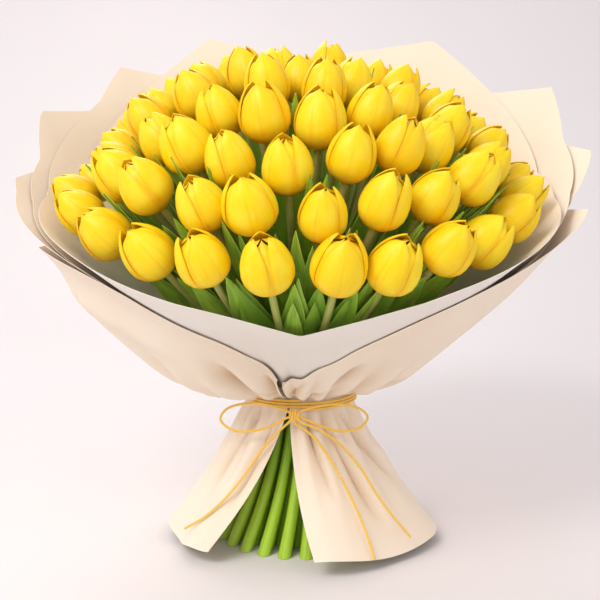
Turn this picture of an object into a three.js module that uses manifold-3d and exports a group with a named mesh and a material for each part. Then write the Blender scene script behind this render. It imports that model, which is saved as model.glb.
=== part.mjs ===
// A hand-tied bunch of closed yellow tulips in layered wrapping paper, tied with twine.
// Units are millimetres. +Z is up, -Y faces the viewer and +X is to the right.
// The origin lies on the floor, in the middle of the flat cut stem ends.
// An azimuth is measured around +Z from the front (-Y), positive towards +X.

import * as THREE from 'three';
import { mergeVertices } from 'three/addons/utils/BufferGeometryUtils.js';
import Module from 'manifold-3d';

// ---- driving dimensions ----

const tieHeight = 148; // floor to the middle of the twine binding
const stemDiameter = 7.6; // from the tie upwards
const cutDiameter = 13; // of the cut end, which a stem swells towards
const stemGap = 0.6; // clearance between neighbouring stems at the tie
const footRadius = 83; // outermost ring of cut ends, on the floor
const stemTwist = 18; // degrees that a stem turns round the bunch between floor and tie

const bloomLength = 55;
const bloomWidth = 42;
const bloomProfile = [[0.7, 0.12], [1, 0.42], [0.82, 0.78], [0.28, 1]]; // shares of width and length
const bloomSides = 6;

// A stem's stations: how far below the waist, as shares of the way to the floor, and how far along
// the curve from the waist to the bloom. That curve leaves the waist out and up, and reaches the
// bloom back along its axis, by these shares of its span.
const stemPath = { drops: [1, 0.5, 0.12], shares: [0, 0.2, 0.5, 1], out: 0.1, up: 0.2, back: 0.3 };

// Tulips in each ring, from the crown outwards, the azimuth of the ring's first tulip, and how
// many neighbours share one node because their stems are pressed together at the tie.
const rings = [
  { name: 'crown', count: 1, turn: 0, grouped: 1 },
  { name: 'first_ring', count: 6, turn: 25, grouped: 3 },
  { name: 'second_ring', count: 12, turn: 10, grouped: 3 },
  { name: 'third_ring', count: 18, turn: -4, grouped: 3 },
  { name: 'fourth_ring', count: 21, turn: 5.6, grouped: 3 },
  { name: 'rim', count: 24, turn: 7, grouped: 1 },
];

// Natural spread between tulips: degrees round the bunch, millimetres along the stem, and share
// of the bloom's size. Blooms behind the middle of the dome are smaller by backShrink.
const variety = { azimuth: 1.8, along: 6, size: 0.05, backShrink: 0.16 };

// The blooms' middles lie on a spherical cap, tipped towards the viewer.
const dome = { radius: 220, rise: 118, tip: 15, depth: 4, height: 358 };
const lean = { side: 52, front: 28, back: 32 }; // degrees from upright at the rim

// A leaf lies along its stem between two shares of it, and spreads away from it towards its tip.
const leaf = { width: 19, thickness: 1.6, start: 0.62, end: 0.95, spread: 7,
  inset: 0.2, keel: 1.5, heel: 0.12, tip: 0.8, stations: 4 };
const contactWidth = 0.4; // of a stem's diameter, where two are pressed together

// Layers of paper lie close together at the tie and open out away from it.
const paper = { thickness: 0.6, pitch: 1.5, opening: 0.02, clearance: 1.4, flatBand: 7 };
// Each side of the collar leaves the tie at a slope (run per rise) and bends up towards a reach.
const collar = {
  front: { slope: 1.5, reach: 1500 },
  side: { slope: 1.25, reach: 330 },
  back: { slope: 1.25, reach: 252 },
};
const skirt = { radius: 118, curve: 1.25 };
const puffRise = 8; // height above the binding over which a sheet billows out
const frontPuff = 0.25; // share of the puff that is left where the sheets meet at the front
const openingCurve = 6; // the higher, the closer to its front edge a skirt starts to swing open

const twine = { diameter: 2.6, turns: 3, clearance: 0.9, gap: 0.4,
  sides: 8, windingSteps: 60, looseSteps: 18 };
const knot = { centre: [-6, -64, 141], radii: [6, 4, 5.5], sides: 8, rings: 6 };

// Each sheet covers a span of azimuths. rim gives the height of its upper edge and hem that
// of its lower edge, at chosen azimuths with straight edges between them. flare is its share of
// the collar's run, and puff is how far it billows out just above the tie.
const sheets = [
  { name: 'liner_sheet', layer: 0, span: [-174, 174], flare: 1, puff: 0,
    rim: [[-174, 430], [-110, 380], [-60, 310], [-30, 268], [0, 240],
      [30, 268], [60, 310], [110, 380], [174, 430]],
    hem: [[-174, 128], [174, 128]] },
  { name: 'back_sheet', layer: 1, span: [100, 252], flare: 1, puff: 0,
    rim: [[100, 340], [148, 532], [180, 512], [202, 536], [252, 340]],
    hem: [[100, 30], [148, 12], [202, 14], [252, 30]] },
  { name: 'left_upper_sheet', layer: 2, span: [-172, -84], flare: 1, puff: 0,
    rim: [[-172, 470], [-137, 498], [-130, 455], [-84, 300]],
    hem: [[-172, 128], [-84, 128]] },
  { name: 'right_upper_sheet', layer: 2, span: [72, 172], flare: 1, puff: 0,
    rim: [[72, 300], [108, 410], [117, 468], [172, 456]],
    hem: [[72, 128], [172, 128]] },
  { name: 'left_middle_sheet', layer: 3, span: [-156, -60], flare: 1, puff: 0,
    rim: [[-156, 450], [-115, 442], [-108, 390], [-60, 268]],
    hem: [[-156, 128], [-60, 128]] },
  { name: 'right_middle_sheet', layer: 3, span: [48, 156], flare: 1, puff: 0,
    rim: [[48, 255], [84, 318], [98, 398], [156, 430]],
    hem: [[48, 128], [156, 128]] },
  { name: 'left_lower_sheet', layer: 4, span: [-144, -36], flare: 1, puff: 0,
    rim: [[-144, 400], [-95, 369], [-75, 318], [-36, 228]],
    hem: [[-144, 128], [-36, 128]] },
  { name: 'right_wing_sheet', layer: 5, span: [-11, 168], flare: 0.83, puff: 38, opening: 19,
    rim: [[-11, 172], [24, 208], [60, 272], [84, 337], [120, 330], [168, 330]],
    hem: [[-11, 16], [30, 12], [70, 8], [168, 12]] },
  { name: 'left_wing_sheet', layer: 6, span: [-168, -13], flare: 0.72, puff: 68, opening: -23,
    rim: [[-168, 300], [-110, 300], [-77, 300], [-48, 248], [-13, 176]],
    hem: [[-168, 12], [-60, 10], [-13, 18]] },
];

const creaseSpacing = 15; // degrees between the creases that all sheets share
const creaseMargin = 3; // degrees that a shared crease keeps from a sheet's side edges
const bendHeights = { below: [0, 85], above: [172, 215, 275, 350, 560] }; // bends that all sheets share
const edgeStep = 1.5; // spacing of bends that are squeezed in along an edge of the paper

// Routes of the loose twine, from the knot outwards.
const looseTwine = [
  { name: 'bow_loop_left', points: [
    [-13, -65, 144], [-34, -67, 151], [-56, -64, 151], [-74, -57, 143], [-79, -56, 133],
    [-66, -63, 124], [-45, -68, 125], [-26, -69, 131], [-13, -68, 138]] },
  { name: 'bow_loop_right', points: [
    [1, -65, 144], [20, -68, 150], [42, -67, 151], [60, -62, 145], [67, -60, 136],
    [60, -63, 127], [42, -67, 124], [20, -69, 130], [2, -68, 138]] },
  { name: 'tail_left', points: [
    [-11, -67, 133], [-20, -68, 125], [-36, -70, 108], [-55, -78, 82], [-74, -84, 60],
    [-94, -84, 42], [-114, -74, 27]] },
  { name: 'tail_right_long', points: [
    [-5, -69, 132], [8, -70, 124], [24, -77, 107], [39, -87, 84], [52, -96, 60],
    [63, -108, 36], [71, -120, 13]] },
  { name: 'tail_right_short', points: [
    [3, -70, 133], [20, -71, 126], [43, -70, 108], [60, -74, 88], [75, -82, 65],
    [91, -88, 44], [108, -90, 24]] },
];

// ---- finishes ----

const finish = (color, roughness) => new THREE.MeshStandardMaterial({ color, roughness, metalness: 0 });
const petalFinish = finish(0xf7cf1d, 0.55);
const linerFinish = finish(0xe6e0da, 0.85);
const paperFinish = finish(0xf3e2c8, 0.85);
const twineFinish = finish(0xe0ac42, 0.8);

// ---- helpers ----

const library = await Module();
library.setup();

const radians = THREE.MathUtils.degToRad;

// A point at a radius, an azimuth in degrees and a height.
function around(radius, azimuth, height) {
  const angle = radians(azimuth);
  return new THREE.Vector3(radius * Math.sin(angle), -radius * Math.cos(angle), height);
}

// Straight-line lookup in a list of [position, value] pairs.
function valueAt(pairs, position) {
  const next = pairs.findIndex(([at]) => at >= position);
  if (next < 1) return next === 0 ? pairs[0][1] : pairs[pairs.length - 1][1];
  const [startAt, startValue] = pairs[next - 1];
  const [endAt, endValue] = pairs[next];
  return THREE.MathUtils.mapLinear(position, startAt, endAt, startValue, endValue);
}

function solidOf(geometry) {
  const bare = geometry.clone();
  bare.deleteAttribute('normal');
  bare.deleteAttribute('uv');
  const merged = mergeVertices(bare, 1e-4);
  return new library.Manifold(new library.Mesh({
    numProp: 3,
    vertProperties: new Float32Array(merged.attributes.position.array),
    triVerts: new Uint32Array(merged.index.array),
  }));
}

function geometryOf(solid) {
  const mesh = solid.getMesh();
  const geometry = new THREE.BufferGeometry();
  geometry.setAttribute('position', new THREE.BufferAttribute(mesh.vertProperties, 3));
  geometry.setIndex(new THREE.BufferAttribute(mesh.triVerts, 1));
  geometry.computeVertexNormals();
  return geometry;
}

// A closed solid from a grid of rows, each of which joins its last point to its first. Cells from
// the column turnedFrom on are split the other way, so that two faces of a sheet run side by side.
function skin(rows, caps, turnedFrom = Infinity) {
  const columns = rows[0].length;
  const positions = rows.flat().flatMap((point) => point.toArray());
  const index = [];
  for (let row = 0; row + 1 < rows.length; row += 1) {
    for (let column = 0; column < columns; column += 1) {
      const here = row * columns + column;
      const beside = row * columns + ((column + 1) % columns);
      const above = here + columns;
      const aboveBeside = beside + columns;
      if (column < turnedFrom) {
        index.push(here, aboveBeside, beside, here, above, aboveBeside);
      } else {
        index.push(here, above, beside, beside, above, aboveBeside);
      }
    }
  }
  index.push(...caps(columns, rows.length));
  const geometry = new THREE.BufferGeometry();
  geometry.setAttribute('position', new THREE.BufferAttribute(new Float32Array(positions), 3));
  geometry.setIndex(index);
  return geometry;
}

// Fans that close the first and last row.
function endCaps(columns, rowCount) {
  const index = [];
  const last = (rowCount - 1) * columns;
  for (let column = 1; column + 1 < columns; column += 1) {
    index.push(0, column, column + 1);
    index.push(last, last + column + 1, last + column);
  }
  return index;
}

function tube(curve, diameter, sides, steps) {
  const outline = new THREE.EllipseCurve(0, 0, diameter / 2, diameter / 2).getPoints(sides);
  const section = new THREE.Shape(outline.slice(0, -1));
  return new THREE.ExtrudeGeometry(section, { extrudePath: curve, steps, bevelEnabled: false });
}

// ---- tulips ----

const outerRing = rings.length - 1;
const ringPitch = stemDiameter + stemGap;
const waistRadius = outerRing * ringPitch;
const waistHeight = tieHeight + paper.flatBand; // the stems are closest where the twine ends
const sphereRadius = (dome.radius ** 2 + dome.rise ** 2) / (2 * dome.rise);
const capAngle = Math.asin(dome.radius / sphereRadius);

// The middle of a bloom on the dome, for a place between the crown (0) and the rim (1).
function bloomCentre(place, azimuth) {
  const polar = capAngle * place;
  const height = sphereRadius * (Math.cos(polar) - 1) + dome.rise;
  const point = around(sphereRadius * Math.sin(polar), azimuth, height);
  point.applyAxisAngle(new THREE.Vector3(1, 0, 0), radians(dome.tip));
  return point.add(new THREE.Vector3(0, dome.depth, dome.height));
}

// An even spread of values from -1 to 1, the same for a tulip and a trait every time.
const scatter = { place: 91.7, azimuth: 12.9898, trait: 78.233, height: 43758.5453 };

function vary(place, azimuth, trait) {
  const phase = place * scatter.place + azimuth * scatter.azimuth + trait * scatter.trait;
  const wave = Math.sin(phase) * scatter.height;
  return (wave - Math.floor(wave)) * 2 - 1;
}

function bloomAxis(place, azimuth) {
  const angle = radians(azimuth);
  const depthLean = Math.cos(angle) > 0 ? lean.front : lean.back;
  return new THREE.Vector3(
    place * Math.tan(radians(lean.side)) * Math.sin(angle),
    -place * Math.tan(radians(depthLean)) * Math.cos(angle),
    1,
  ).normalize();
}

// A smooth curve whose even steps fall exactly on its stations.
class StationCurve extends THREE.CatmullRomCurve3 {
  getPointAt(share) {
    return this.getPoint(share);
  }

  getTangentAt(share) {
    return this.getTangent(share);
  }
}

// A stem runs from its cut end through the tie to the bottom of its bloom.
function stemCurve(place, azimuth, base, axis) {
  const flare = (footRadius / waistRadius) ** 2 - 1;
  const stations = [];
  for (const drop of stemPath.drops) {
    const radius = waistRadius * place * Math.sqrt(1 + flare * drop * drop);
    stations.push(around(radius, azimuth - stemTwist * drop, waistHeight * (1 - drop)));
  }
  const waist = around(waistRadius * place, azimuth, waistHeight);
  const span = base.distanceTo(waist);
  const rise = new THREE.CubicBezierCurve3(
    waist,
    waist.clone().add(around(place * span * stemPath.out, azimuth, span * stemPath.up)),
    base.clone().addScaledVector(axis, -span * stemPath.back),
    base,
  );
  for (const share of stemPath.shares) stations.push(rise.getPoint(share));
  return new StationCurve(stations, false, 'centripetal');
}

// A ring of points round a centre, square to a direction.
function ringOfPoints(centre, direction, radius, flat) {
  const side = new THREE.Vector3(0, 1, 0).cross(direction).normalize();
  const front = direction.clone().cross(side).normalize();
  const ring = [];
  for (let corner = 0; corner < bloomSides; corner += 1) {
    const angle = (corner * 2 * Math.PI) / bloomSides;
    const point = centre.clone();
    point.addScaledVector(side, radius * Math.cos(angle));
    point.addScaledVector(front, radius * Math.sin(angle));
    if (flat) point.setZ(centre.z);
    ring.push(point);
  }
  return ring;
}

// Stem and bloom as one grown piece, with its end cut flat on the floor.
function stemAndBloom(curve, base, axis, size) {
  const last = curve.points.length - 1;
  const rows = curve.points.map((point, station) => {
    const diameter = THREE.MathUtils.lerp(stemDiameter, cutDiameter, stemPath.drops[station] ?? 0);
    return ringOfPoints(point, curve.getTangent(station / last), diameter / 2, station === 0);
  });
  for (const [across, along] of bloomProfile) {
    const centre = base.clone().addScaledVector(axis, along * bloomLength * size);
    rows.push(ringOfPoints(centre, axis, across * bloomWidth * size / 2));
  }
  return solidOf(skin(rows.reverse(), endCaps));
}

// A lance-shaped leaf that rises along the outer side of its stem.
function leafGeometry(curve) {
  const rows = [];
  for (let step = 0; step <= leaf.stations; step += 1) {
    const along = step / leaf.stations;
    const at = leaf.start + (leaf.end - leaf.start) * along;
    const tangent = curve.getTangent(at);
    const centre = curve.getPoint(at);
    const across = new THREE.Vector3(-centre.y, centre.x, 0).normalize();
    const outward = across.clone().cross(tangent).normalize();
    centre.addScaledVector(outward, stemDiameter * leaf.inset + leaf.spread * along);
    const taper = Math.sin(Math.PI * (leaf.heel + (1 - leaf.heel) * along));
    const halfWidth = Math.max(leaf.tip, leaf.width / 2 * taper);
    const halfThickness = leaf.thickness / 2;
    rows.push([
      centre.clone().addScaledVector(across, halfWidth).addScaledVector(outward, -halfThickness),
      centre.clone().addScaledVector(outward, halfThickness),
      centre.clone().addScaledVector(across, -halfWidth).addScaledVector(outward, -halfThickness),
      centre.clone().addScaledVector(outward, -halfThickness * leaf.keel),
    ]);
  }
  return skin(rows, endCaps);
}

function tulipSolid(ring, azimuth) {
  const place = ring / outerRing;
  const shifted = azimuth + variety.azimuth * vary(place, azimuth, 1);
  const axis = bloomAxis(place, shifted);
  const centre = bloomCentre(place, shifted);
  const backness = THREE.MathUtils.smoothstep(centre.y, -dome.radius / 2, dome.radius / 4);
  const size = 1 + variety.size * vary(place, azimuth, 3) - variety.backShrink * backness;
  const along = variety.along * vary(place, azimuth, 2) - bloomLength * size / 2;
  const base = centre.addScaledVector(axis, along);
  const curve = stemCurve(place, azimuth, base, axis);
  const solid = stemAndBloom(curve, base, axis, size);
  return ring === outerRing ? solid.add(solidOf(leafGeometry(curve))) : solid;
}

// Where two stems of a group are pressed flat against each other at the tie.
function pressedContact(ring, azimuth, nextAzimuth) {
  const radius = ring * ringPitch;
  const start = around(radius, azimuth, tieHeight);
  const end = around(radius, nextAzimuth, tieHeight);
  const middle = start.clone().add(end).multiplyScalar(0.5);
  const width = stemDiameter * contactWidth;
  const block = new THREE.BoxGeometry(start.distanceTo(end), width, stemDiameter);
  block.rotateZ(Math.atan2(end.y - start.y, end.x - start.x));
  return solidOf(block.translate(middle.x, middle.y, middle.z));
}

function addTulips(bunch) {
  rings.forEach(({ name, count, turn, grouped }, ring) => {
    const spacing = 360 / count;
    for (let first = 0; first < count; first += grouped) {
      let solid = tulipSolid(ring, turn + first * spacing);
      for (let member = first + 1; member < first + grouped; member += 1) {
        const azimuth = turn + member * spacing;
        solid = solid.add(tulipSolid(ring, azimuth));
        solid = solid.add(pressedContact(ring, azimuth - spacing, azimuth));
      }
      const mesh = new THREE.Mesh(geometryOf(solid), petalFinish);
      const number = String(first / grouped + 1).padStart(2, '0');
      mesh.name = (grouped > 1 ? 'tulips_' : 'tulip_') + name + (count > 1 ? '_' + number : '');
      bunch.add(mesh);
    }
  });
}

// ---- wrapping paper ----

const innerPaperRadius = waistRadius + stemDiameter / 2 + paper.clearance;

const lowBand = tieHeight - paper.flatBand;
const highBand = tieHeight + paper.flatBand;
const bends = [...bendHeights.below, lowBand, highBand, ...bendHeights.above];

// How far the smooth collar or skirt stands out from the tie at an azimuth and a height.
function smoothSpread(azimuth, height) {
  if (height <= highBand) {
    const drop = Math.max(0, 1 - height / lowBand);
    return (skirt.radius - innerPaperRadius) * drop ** skirt.curve;
  }
  const run = ({ slope, reach }) => reach * Math.tanh(((height - highBand) * slope) / reach);
  const backness = (1 - Math.cos(radians(azimuth))) / 2;
  return backness < 0.5
    ? THREE.MathUtils.lerp(run(collar.front), run(collar.side), backness * 2)
    : THREE.MathUtils.lerp(run(collar.side), run(collar.back), backness * 2 - 1);
}

// How far a sheet billows out above the tie: less at the front, where the sheets meet.
function billow(puff, azimuth, height) {
  if (height <= highBand) return 0;
  const share = THREE.MathUtils.smoothstep(Math.abs(azimuth), 10, 60);
  return puff * THREE.MathUtils.lerp(frontPuff, 1, share) * (1 - Math.exp((highBand - height) / puffRise));
}

// The inner radius of a sheet, which is straight between the shared bends.
function paperRadius({ layer, flare, puff }, azimuth, height) {
  const offBand = Math.max(0, Math.abs(height - tieHeight) - paper.flatBand);
  const layered = innerPaperRadius + layer * paper.pitch * (1 + paper.opening * offBand);
  const share = height > highBand ? flare : 1;
  const spread = bends.map((bend) => (
    [bend, share * smoothSpread(azimuth, bend) + billow(puff, azimuth, bend)]));
  return layered + valueAt(spread, height);
}

// Azimuths of a sheet's creases: its own side edges and the shared grid between them.
function creases([from, to]) {
  const azimuths = [from];
  const first = Math.ceil((from + creaseMargin) / creaseSpacing);
  for (let step = first; step * creaseSpacing < to - creaseMargin; step += 1) {
    azimuths.push(step * creaseSpacing);
  }
  return [...azimuths, to];
}

// Heights of a sheet's bends at one crease. Bends past its edges are squeezed in along them.
function rowHeights(bottom, top) {
  const inner = bends.slice(1, -1);
  return inner.map((bend, row) => {
    const lowest = bottom + edgeStep * (row + 1);
    const highest = top - edgeStep * (inner.length - row);
    return THREE.MathUtils.clamp(bend, lowest, highest);
  });
}

// One sheet: a row of points at each crease, up its outer face and down its inner face.
function sheetGeometry(sheet) {
  const [from, to] = sheet.span;
  const swing = sheet.opening ?? 0;
  const rows = creases(sheet.span).map((azimuth) => {
    const top = valueAt(sheet.rim, azimuth);
    const bottom = valueAt(sheet.hem, azimuth);
    const share = (azimuth - from) / (to - from);
    const atOpening = swing < 0 ? share : 1 - share;
    const heights = [bottom, ...rowHeights(bottom, top), top];
    const place = (height, depth) => {
      const drop = Math.max(0, 1 - height / lowBand);
      const angle = azimuth + swing * atOpening ** openingCurve * drop;
      return around(paperRadius(sheet, azimuth, height) + depth, angle, height);
    };
    const outer = heights.map((height) => place(height, paper.thickness));
    const inner = heights.map((height) => place(height, 0)).reverse();
    return [...outer, ...inner];
  });
  return skin(rows, stripCaps, rows[0].length / 2);
}

// Ladders that close the two side edges of a sheet.
function stripCaps(columns, rowCount) {
  const index = [];
  const last = (rowCount - 1) * columns;
  for (let rung = 0; rung + 1 < columns / 2; rung += 1) {
    const outer = rung;
    const inner = columns - 1 - rung;
    index.push(outer, inner - 1, inner, outer, outer + 1, inner - 1);
    index.push(last + outer, last + inner, last + inner - 1);
    index.push(last + outer, last + inner - 1, last + outer + 1);
  }
  return index;
}

function addPaper(bunch) {
  for (const sheet of sheets) {
    const mesh = new THREE.Mesh(sheetGeometry(sheet), sheet.layer ? paperFinish : linerFinish);
    mesh.name = sheet.name;
    bunch.add(mesh);
  }
}

// ---- twine ----

class BindingTurns extends THREE.Curve {
  getPoint(share) {
    const outerLayer = Math.max(...sheets.map(({ layer }) => layer));
    const radius = innerPaperRadius + outerLayer * paper.pitch + paper.thickness
      + twine.clearance + twine.diameter / 2;
    const climb = (share - 0.5) * twine.turns * (twine.diameter + twine.gap);
    return around(radius, share * 360 * twine.turns, tieHeight + climb);
  }
}

function addTwine(bunch) {
  const winding = tube(new BindingTurns(), twine.diameter, twine.sides, twine.windingSteps);
  const binding = new THREE.Mesh(winding, twineFinish);
  binding.name = 'binding_turns';
  bunch.add(binding);
  const lump = new THREE.SphereGeometry(1, knot.sides, knot.rings).scale(...knot.radii);
  const tiedKnot = new THREE.Mesh(lump, twineFinish);
  tiedKnot.name = 'knot';
  tiedKnot.position.set(...knot.centre);
  bunch.add(tiedKnot);
  for (const { name, points } of looseTwine) {
    const route = points.map((point) => new THREE.Vector3(...point));
    const curve = new THREE.CatmullRomCurve3(route, false, 'centripetal');
    const mesh = new THREE.Mesh(tube(curve, twine.diameter, twine.sides, twine.looseSteps), twineFinish);
    mesh.name = name;
    bunch.add(mesh);
  }
}

const bunch = new THREE.Group();
addTulips(bunch);
addPaper(bunch);
addTwine(bunch);

export default bunch;
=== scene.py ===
"""A hand-tied bunch of closed yellow tulips in layered wrapping paper, tied with twine.

The bunch's own sizes are in millimetres and turn into metres where a mesh is made. +Z is up, -Y
faces the viewer and +X is to the right. An azimuth is measured in degrees round +Z from the front,
positive towards +X.
"""

import logging
import math
import random
from dataclasses import dataclass
from enum import Enum
from typing import Callable, Sequence

import bpy
import numpy as np
from mathutils import Matrix, Vector

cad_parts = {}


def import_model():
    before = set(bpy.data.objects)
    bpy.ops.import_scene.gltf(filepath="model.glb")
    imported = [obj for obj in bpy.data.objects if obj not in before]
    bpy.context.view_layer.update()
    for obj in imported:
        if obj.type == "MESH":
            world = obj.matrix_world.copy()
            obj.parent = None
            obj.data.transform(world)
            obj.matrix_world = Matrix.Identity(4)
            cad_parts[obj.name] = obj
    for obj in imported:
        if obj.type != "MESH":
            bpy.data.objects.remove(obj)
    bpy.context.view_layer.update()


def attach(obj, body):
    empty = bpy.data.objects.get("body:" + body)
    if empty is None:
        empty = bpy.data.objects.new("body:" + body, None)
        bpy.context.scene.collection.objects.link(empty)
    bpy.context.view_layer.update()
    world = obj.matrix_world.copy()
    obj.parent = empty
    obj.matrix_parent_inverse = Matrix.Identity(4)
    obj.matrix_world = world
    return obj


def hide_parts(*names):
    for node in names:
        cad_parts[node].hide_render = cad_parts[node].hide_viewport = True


MM = 0.001
BODY = "root"
LOG = logging.getLogger("tulips")

Pairs = Sequence[tuple[float, float]]
Colour = tuple[float, float, float]
Place = Callable[[float, float], Vector]


class Slot(Enum):
    """The record's material slots."""

    TULIP = "tulip"
    LINER = "liner_paper"
    WRAPPING = "wrapping_paper"
    TWINE = "twine"


# ---- small maths ----


def around(radius: float, azimuth: float, height: float) -> Vector:
    """Returns the point at a radius, an azimuth in degrees and a height."""
    angle = math.radians(azimuth)
    return Vector((radius * math.sin(angle), -radius * math.cos(angle), height))


def lerp(start: float, end: float, share: float) -> float:
    """Returns the value at a share of the way from start to end."""
    return start + (end - start) * share


def smoothstep(value: float, low: float, high: float) -> float:
    """Returns an eased share, from 0 at low to 1 at high."""
    share = min(1.0, max(0.0, (value - low) / (high - low)))
    return share * share * (3 - 2 * share)


def hump(value: float, peak: float) -> float:
    """Returns a hump that is 0 at 0, 1 at peak, and dies away past it."""
    return max(0.0, value) / peak * math.exp(1 - max(0.0, value) / peak)


def value_at(pairs: Pairs, position: float) -> float:
    """Looks a position up in (position, value) pairs, along straight lines.

    Args:
        pairs: The known values, in order of position.
        position: Where the value is wanted.

    Returns:
        The value there, or the nearest end's value outside the pairs.
    """
    positions, values = zip(*pairs)
    return float(np.interp(position, positions, values))


def catmull(points: Sequence[Vector], steps: int) -> list[Vector]:
    """Samples a smooth centripetal curve through some points.

    Args:
        points: The points that the curve passes through.
        steps: How many samples each stretch between two points gets.

    Returns:
        The samples, from the first point to the last.
    """
    ends = [points[0] * 2 - points[1], *points, points[-1] * 2 - points[-2]]
    samples = []
    for a, b, c, d in zip(ends, ends[1:], ends[2:], ends[3:]):
        gaps = [max(1e-9, (q - p).length ** 0.5) for p, q in ((a, b), (b, c), (c, d))]
        start = (b - a) / gaps[0] - (c - a) / (gaps[0] + gaps[1]) + (c - b) / gaps[1]
        end = (c - b) / gaps[1] - (d - b) / (gaps[1] + gaps[2]) + (d - c) / gaps[2]
        start, end = start * gaps[1], end * gaps[1]
        for step in range(steps):
            t = step / steps
            samples.append(
                b * (2 * t**3 - 3 * t**2 + 1)
                + start * (t**3 - 2 * t**2 + t)
                + c * (3 * t**2 - 2 * t**3)
                + end * (t**3 - t**2)
            )
    return [*samples, points[-1].copy()]


def bezier(a: Vector, b: Vector, c: Vector, d: Vector, share: float) -> Vector:
    """Returns the point at a share of a cubic curve with these four handles."""
    rest = 1 - share
    return a * rest**3 + b * (3 * rest**2 * share) + c * (3 * rest * share**2) + d * share**3


@dataclass
class Path:
    """A line through closely spaced points, read by its share of length."""

    points: list[Vector]

    def __post_init__(self) -> None:
        """Measures how far along each point lies."""
        gaps = [(q - p).length for p, q in zip(self.points, self.points[1:])]
        self.marks = np.concatenate([[0.0], np.cumsum(gaps)])
        self.table = np.array([list(p) for p in self.points])

    @property
    def length(self) -> float:
        """The whole length."""
        return float(self.marks[-1])

    def at(self, share: float) -> Vector:
        """Returns the point at a share of the length."""
        mark = share * self.length
        return Vector([float(np.interp(mark, self.marks, column)) for column in self.table.T])

    def tangent(self, share: float) -> Vector:
        """Finds the direction at a share of the length.

        Args:
            share: How far along, from 0 to 1.

        Returns:
            The direction, of length 1.
        """
        near = 0.01
        low, high = max(0.0, share - near), min(1.0, share + near)
        return (self.at(high) - self.at(low)).normalized()


# ---- shader maths ----


class Value:
    """A socket that carries a number. Arithmetic on it adds Math nodes."""

    def __init__(self, graph: "Graph", socket: bpy.types.NodeSocket) -> None:
        """Wraps a socket of a graph."""
        self.graph = graph
        self.socket = socket

    def __add__(self, other: "Value | float") -> "Value":
        """Adds."""
        return self.graph.math("ADD", self, other)

    __radd__ = __add__

    def __sub__(self, other: "Value | float") -> "Value":
        """Subtracts."""
        return self.graph.math("SUBTRACT", self, other)

    def __rsub__(self, other: "Value | float") -> "Value":
        """Subtracts this from a number."""
        return self.graph.math("SUBTRACT", other, self)

    def __mul__(self, other: "Value | float") -> "Value":
        """Multiplies."""
        return self.graph.math("MULTIPLY", self, other)

    __rmul__ = __mul__

    def size(self) -> "Value":
        """Returns the absolute value."""
        return self.graph.math("ABSOLUTE", self)

    def wave(self) -> "Value":
        """Returns the sine."""
        return self.graph.math("SINE", self)

    def step(self, low: float, high: float) -> "Value":
        """Eases a value from one level to another.

        Args:
            low: Where the share starts to rise.
            high: Where it is full.

        Returns:
            An eased share, from 0 at low to 1 at high.
        """
        node = self.graph.node(
            "ShaderNodeMapRange",
            {"interpolation_type": "SMOOTHSTEP"},
            {"Value": self, "From Min": low, "From Max": high},
        )
        return Value(self.graph, node.outputs["Result"])


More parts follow.
